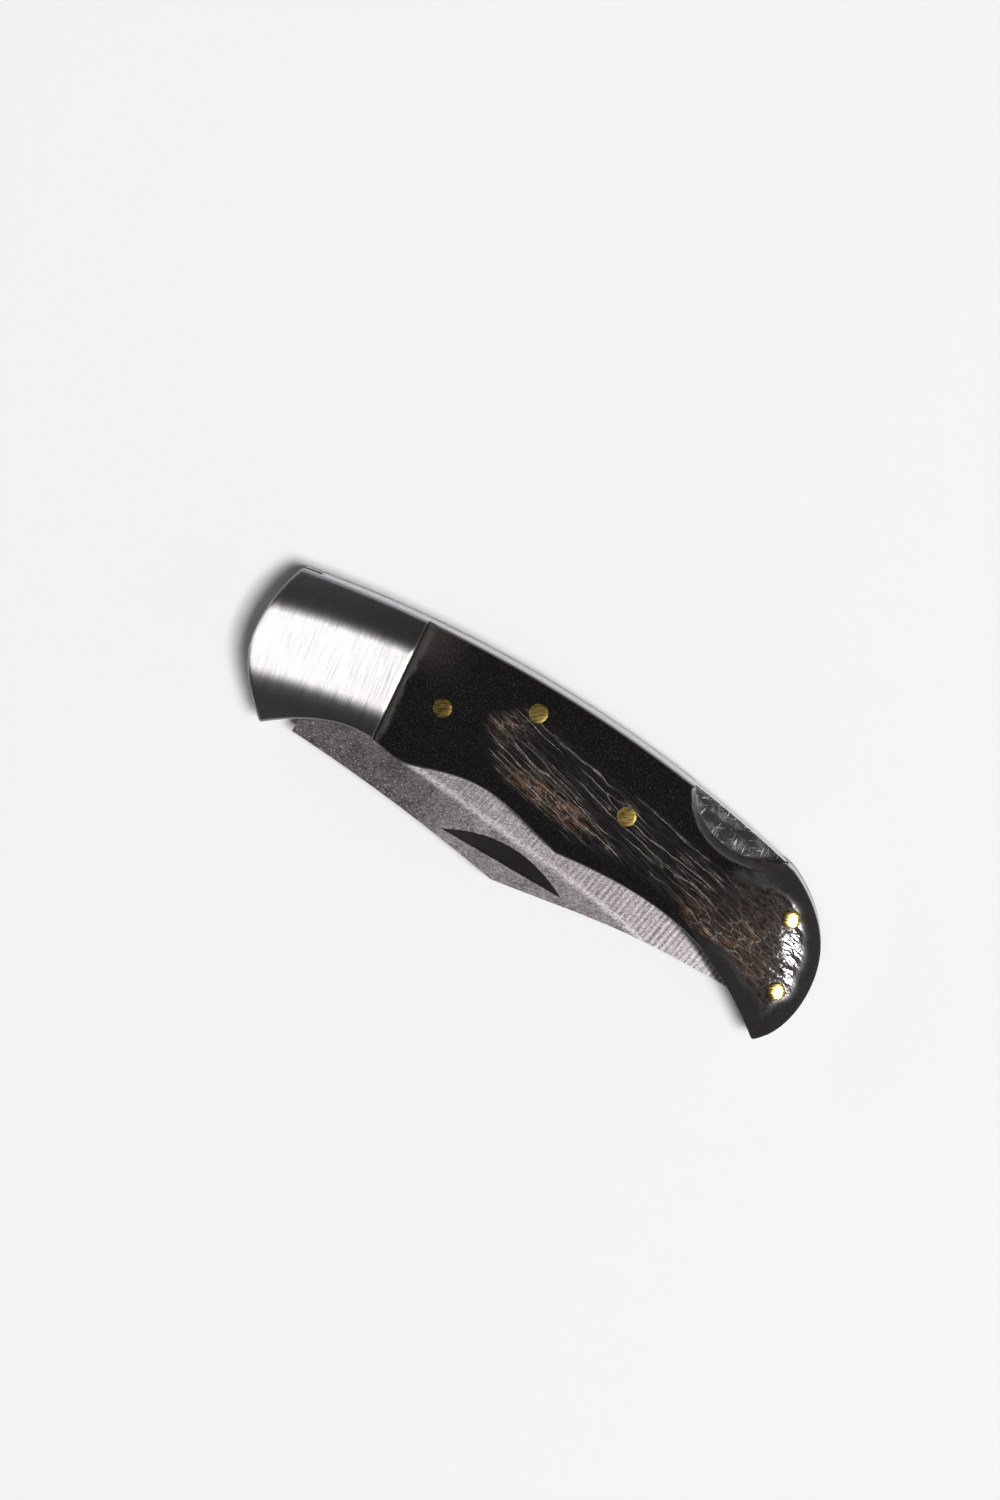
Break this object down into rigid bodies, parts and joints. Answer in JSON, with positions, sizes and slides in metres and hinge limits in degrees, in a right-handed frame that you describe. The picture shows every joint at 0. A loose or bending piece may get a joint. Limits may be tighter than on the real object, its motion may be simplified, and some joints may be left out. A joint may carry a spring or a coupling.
{
  "type": "folding pocket knife",
  "caption": "Rear-lock folding pocket knife, closed: clip-point blade, rocking lock bar along the spine, steel bolsters and black horn scales pinned to steel liners.",
  "frame": {"origin": "under the middle of the closed knife, on the face that it lies on", "axes": "+X from the bolsters to the tail, +Y from the belly to the spine, +Z out of the left side"},
  "size_m": [0.0858, 0.0258, 0.0112],
  "materials": {
    "blade": "stonewashed",
    "polished_steel": "polished, scratched",
    "bolster_steel": "brushed",
    "brass": "ground flush, tarnished",
    "bronze": "smooth",
    "horn": "polished, with a rough bark band"
  },
  "bodies": {
    "handle": {"lock_spring": "polished_steel", "tail_spacer": "polished_steel", "left_liner": "polished_steel", "right_liner": "polished_steel", "left_bolster": "bolster_steel", "right_bolster": "bolster_steel", "left_bolster_rivets": "bolster_steel", "right_bolster_rivets": "bolster_steel", "pivot_pin": "bolster_steel", "front_pin": "brass", "lock_bar_pin": "brass", "middle_pin": "brass", "upper_tail_pin": "brass", "lower_tail_pin": "brass", "left_washer": "bronze", "right_washer": "bronze", "left_scale": "horn", "right_scale": "horn"},
    "blade": {"blade": "blade"},
    "lock_bar": {"lock_bar": "polished_steel"}
  },
  "joints": [
    {"name": "blade_pivot", "type": "hinge", "parent": "handle", "child": "blade", "pos_m": [-0.03581, -0.00028, 0.00558], "axis": [0, 0, -1], "range_deg": [0, 180]},
    {"name": "lock_rock", "type": "hinge", "parent": "handle", "child": "lock_bar", "pos_m": [-0.00591, 0.00923, 0.00558], "axis": [0, 0, 1], "range_deg": [-1, 1.7], "stiffness_Nm_per_rad": 2, "deforming": ["lock_spring"]}
  ]
}
